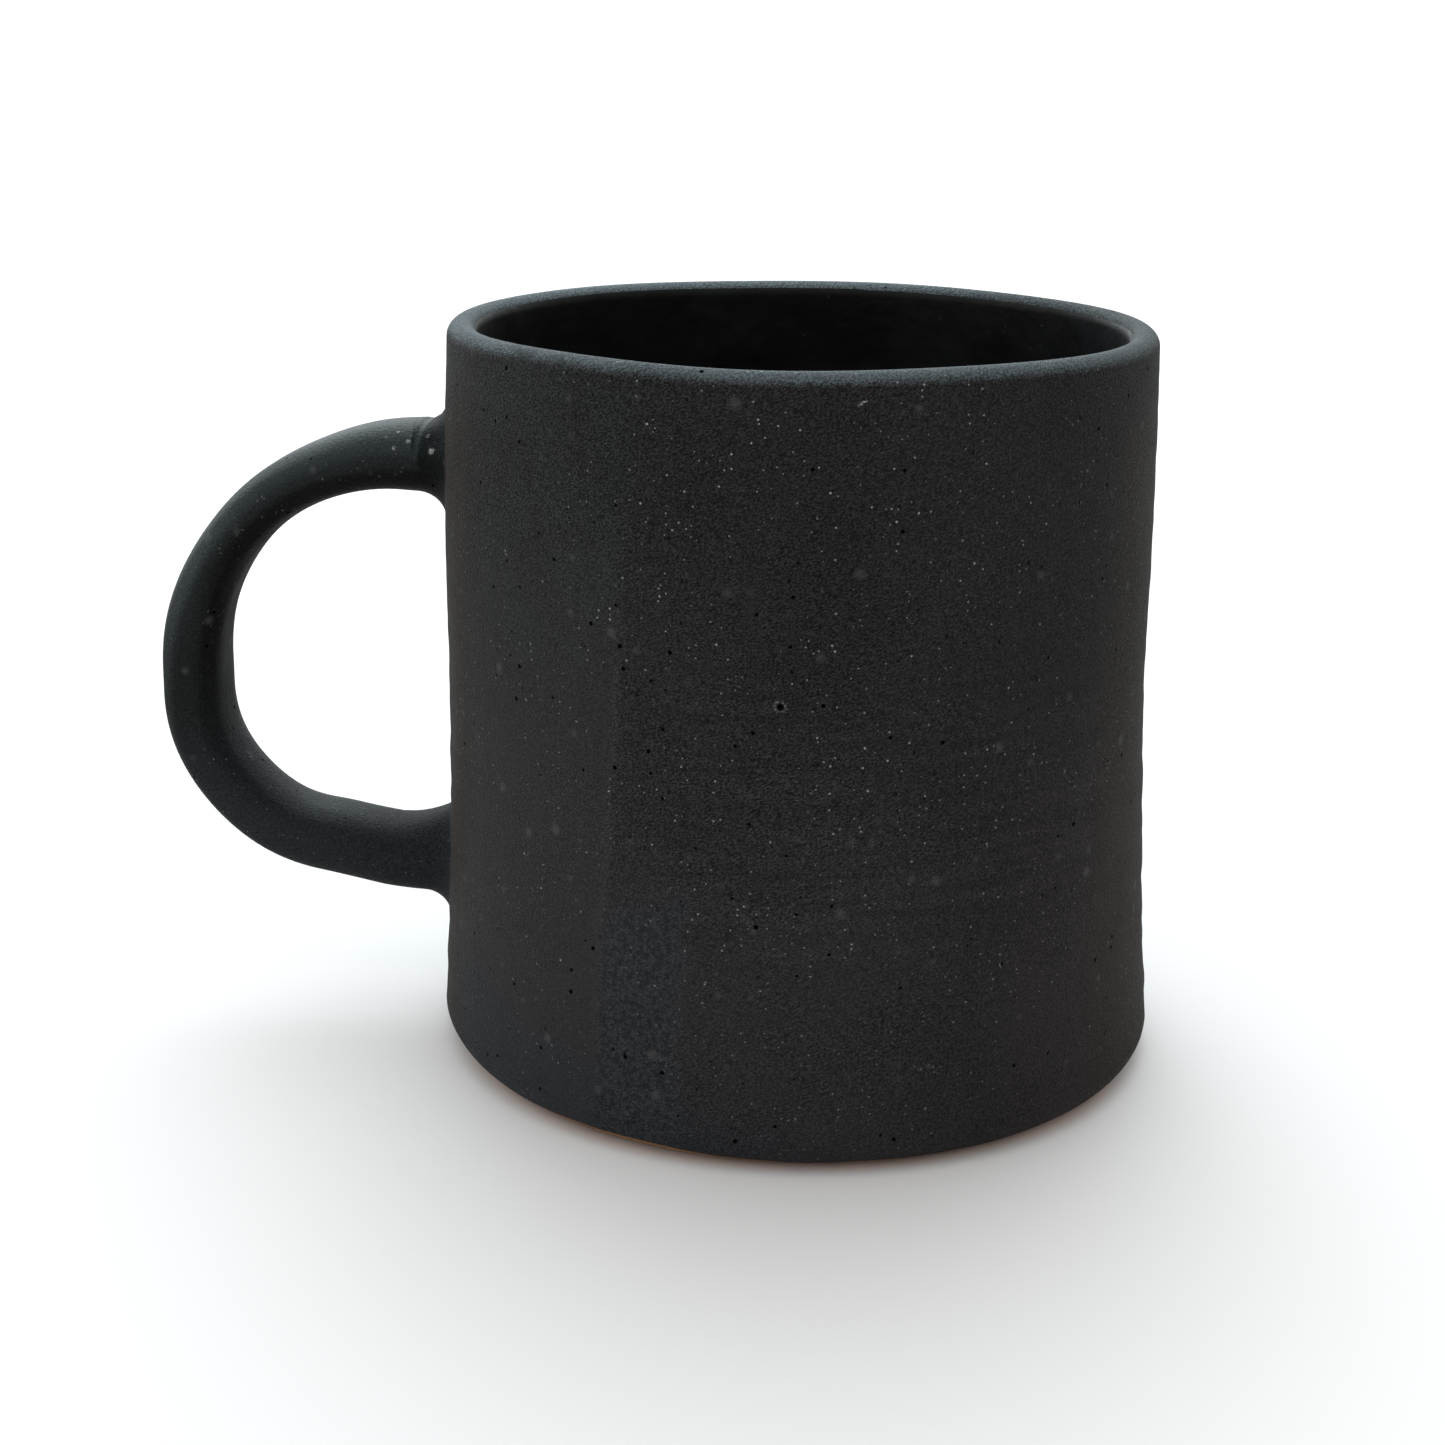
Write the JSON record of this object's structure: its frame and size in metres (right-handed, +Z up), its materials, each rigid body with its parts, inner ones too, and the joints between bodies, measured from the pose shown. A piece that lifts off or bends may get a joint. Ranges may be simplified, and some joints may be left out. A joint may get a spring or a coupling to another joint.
{
  "type": "ceramic mug",
  "caption": "Straight-sided hand-thrown stoneware mug with a slightly flared foot, rounded lip, pulled D-shaped loop handle and matt black glaze.",
  "frame": {"origin": "centre of the flat foot, on the surface that the mug stands on", "axes": "+Z up along the cup's axis; the handle points to -X; -Z is the foot's outward normal"},
  "size_m": [0.1271, 0.0904, 0.0907],
  "materials": {
    "bare_clay": "unglazed fired stoneware, dark brown with iron specks",
    "matt_glaze": "matt black with fine orange peel, pale specks and pinholes",
    "liner_glaze": "matt to satin black"
  },
  "bodies": {
    "root": {"body": "bare_clay", "handle": "bare_clay", "upper_root_coil": "bare_clay", "lower_root_coil": "bare_clay", "outer_glaze": "matt_glaze", "handle_glaze": "matt_glaze", "liner_glaze": "liner_glaze"}
  },
  "joints": []
}
